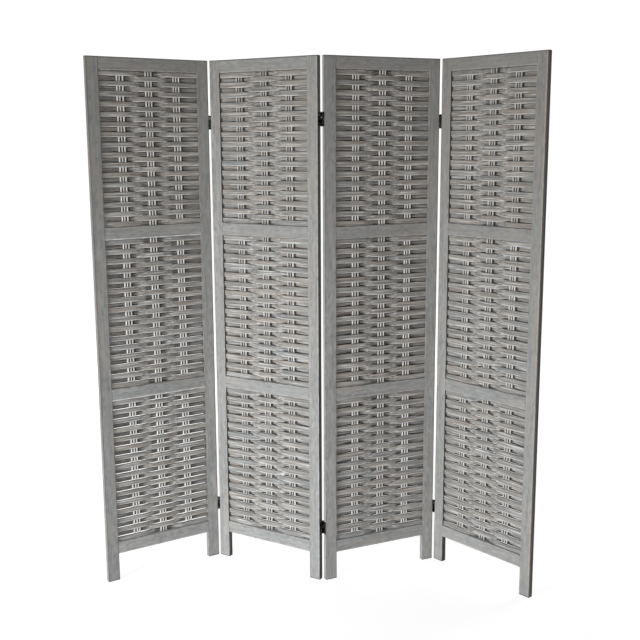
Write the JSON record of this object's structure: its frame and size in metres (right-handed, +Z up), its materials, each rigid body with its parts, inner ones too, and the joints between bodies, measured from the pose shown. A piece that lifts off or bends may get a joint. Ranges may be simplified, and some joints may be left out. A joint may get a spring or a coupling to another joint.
{
  "type": "woven bamboo folding screen",
  "caption": "Free-standing folding room divider: hinged wooden frames, each filled with flat bamboo slats woven round upright rods, in a washed grey finish.",
  "frame": {"origin": "middle of the standing footprint's box, on the floor under the feet", "axes": "+Z up, +X to the right across the screen seen from its front, +Y from the front to the back"},
  "size_m": [1.3922, 0.3642, 1.7],
  "materials": {
    "frame_wood": "grey washed, matt, fine upright grain",
    "bamboo_slats": "grey washed flat slats with long fibres, matt",
    "weave_rods": "pale peeled round rods, matt",
    "hinge_metal": "black brown, satin"
  },
  "bodies": {
    "panel_1": {"panel_1_left_stile": "frame_wood", "panel_1_right_stile": "frame_wood", "panel_1_bottom_rail": "frame_wood", "panel_1_lower_rail": "frame_wood", "panel_1_upper_rail": "frame_wood", "panel_1_top_rail": "frame_wood", "panel_1_lower_slats": "bamboo_slats", "panel_1_middle_slats": "bamboo_slats", "panel_1_upper_slats": "bamboo_slats", "panel_1_rods": "weave_rods", "panel_1_hinge_screws": "hinge_metal", "hinge_12_left_leaves": "hinge_metal"},
    "panel_2": {"panel_2_left_stile": "frame_wood", "panel_2_right_stile": "frame_wood", "panel_2_bottom_rail": "frame_wood", "panel_2_lower_rail": "frame_wood", "panel_2_upper_rail": "frame_wood", "panel_2_top_rail": "frame_wood", "panel_2_lower_slats": "bamboo_slats", "panel_2_middle_slats": "bamboo_slats", "panel_2_upper_slats": "bamboo_slats", "panel_2_rods": "weave_rods", "panel_2_hinge_screws": "hinge_metal", "hinge_12_right_leaves": "hinge_metal", "hinge_12_pins": "hinge_metal", "hinge_23_left_leaves": "hinge_metal", "hinge_23_pins": "hinge_metal"},
    "panel_3": {"panel_3_left_stile": "frame_wood", "panel_3_right_stile": "frame_wood", "panel_3_bottom_rail": "frame_wood", "panel_3_lower_rail": "frame_wood", "panel_3_upper_rail": "frame_wood", "panel_3_top_rail": "frame_wood", "panel_3_lower_slats": "bamboo_slats", "panel_3_middle_slats": "bamboo_slats", "panel_3_upper_slats": "bamboo_slats", "panel_3_rods": "weave_rods", "panel_3_hinge_screws": "hinge_metal", "hinge_23_right_leaves": "hinge_metal", "hinge_34_left_leaves": "hinge_metal", "hinge_34_pins": "hinge_metal"},
    "panel_4": {"panel_4_left_stile": "frame_wood", "panel_4_right_stile": "frame_wood", "panel_4_bottom_rail": "frame_wood", "panel_4_lower_rail": "frame_wood", "panel_4_upper_rail": "frame_wood", "panel_4_top_rail": "frame_wood", "panel_4_lower_slats": "bamboo_slats", "panel_4_middle_slats": "bamboo_slats", "panel_4_upper_slats": "bamboo_slats", "panel_4_rods": "weave_rods", "panel_4_hinge_screws": "hinge_metal", "hinge_34_right_leaves": "hinge_metal"}
  },
  "joints": [
    {"name": "fold_12", "type": "hinge", "parent": "panel_2", "child": "panel_1", "pos_m": [-0.33998, 0.16462, 0], "axis": [0, 0, 1], "range_deg": [-64, 116]},
    {"name": "fold_23", "type": "hinge", "parent": "panel_2", "child": "panel_3", "pos_m": [0.02632, -0.02608, 0], "axis": [0, 0, 1], "range_deg": [-56, 124]},
    {"name": "fold_34", "type": "hinge", "parent": "panel_3", "child": "panel_4", "pos_m": [0.41055, 0.12529, 0], "axis": [0, 0, -1], "range_deg": [-74, 106]}
  ]
}
